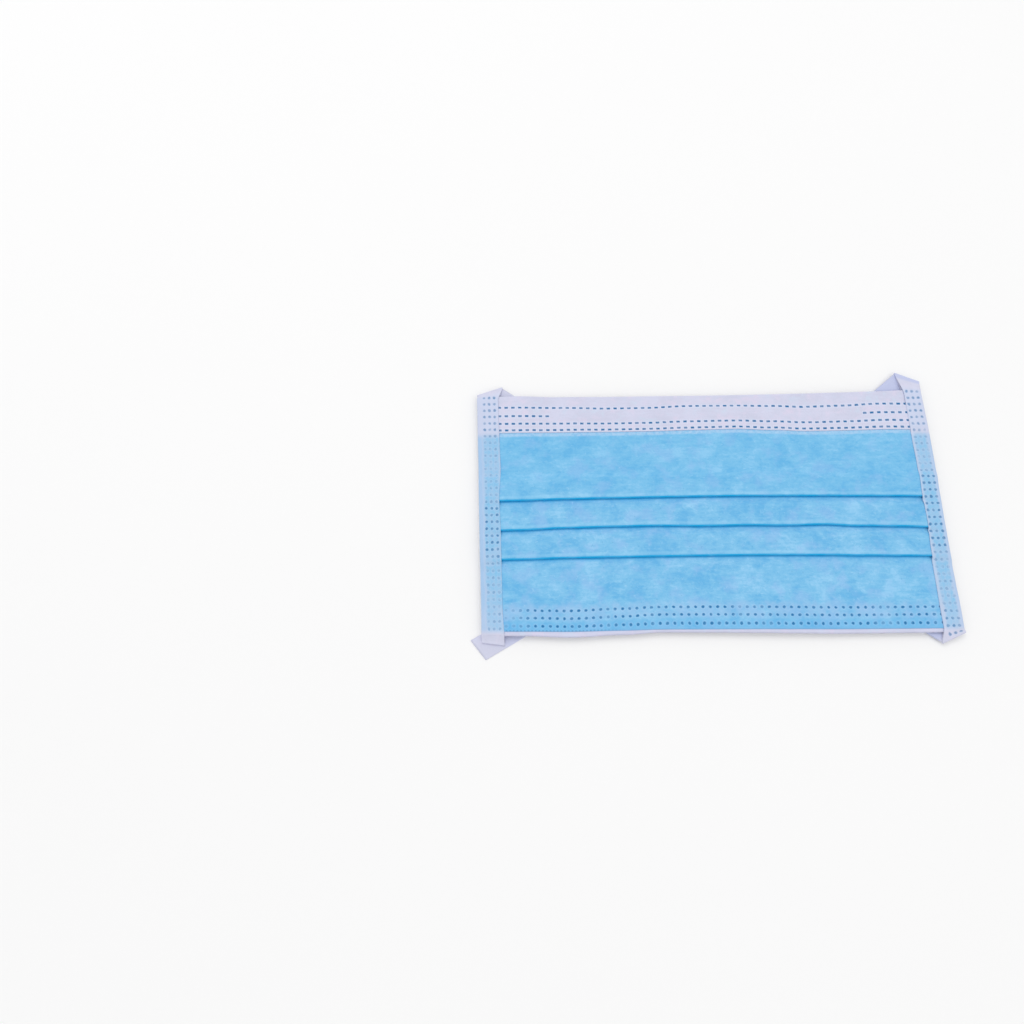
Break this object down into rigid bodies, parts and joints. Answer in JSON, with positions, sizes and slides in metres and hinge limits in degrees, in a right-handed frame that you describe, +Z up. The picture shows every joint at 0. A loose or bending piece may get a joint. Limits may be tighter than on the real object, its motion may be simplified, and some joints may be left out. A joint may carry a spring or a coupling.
{
  "type": "tie-on surgical face mask",
  "caption": "Flat pleated cloth face mask with a white nose band, bound side edges and ties folded behind it.",
  "frame": {"origin": "centre of the underside of the part's box, on the surface that the mask lies on", "axes": "+X across the mask, +Y towards the nose edge, +Z up out of the mask's front"},
  "size_m": [0.1776, 0.1106, 0.0062],
  "materials": {
    "blue_cloth": "matt light blue non-woven cloth",
    "white_cloth": "matt white non-woven cloth, pressed in dots and dashes",
    "tie_cloth": "thin matt white non-woven cloth that lets the blue show through",
    "wire_plastic": "white plastic over a soft metal strip"
  },
  "bodies": {
    "root": {"pleated_panel": "blue_cloth", "nose_band": "white_cloth", "bottom_hem": "white_cloth", "nose_wire": "wire_plastic", "left_binding": "tie_cloth", "right_binding": "tie_cloth", "tie_top_left": "tie_cloth", "tie_top_right": "tie_cloth", "tie_bottom_left": "tie_cloth", "tie_bottom_right": "tie_cloth"}
  },
  "joints": []
}
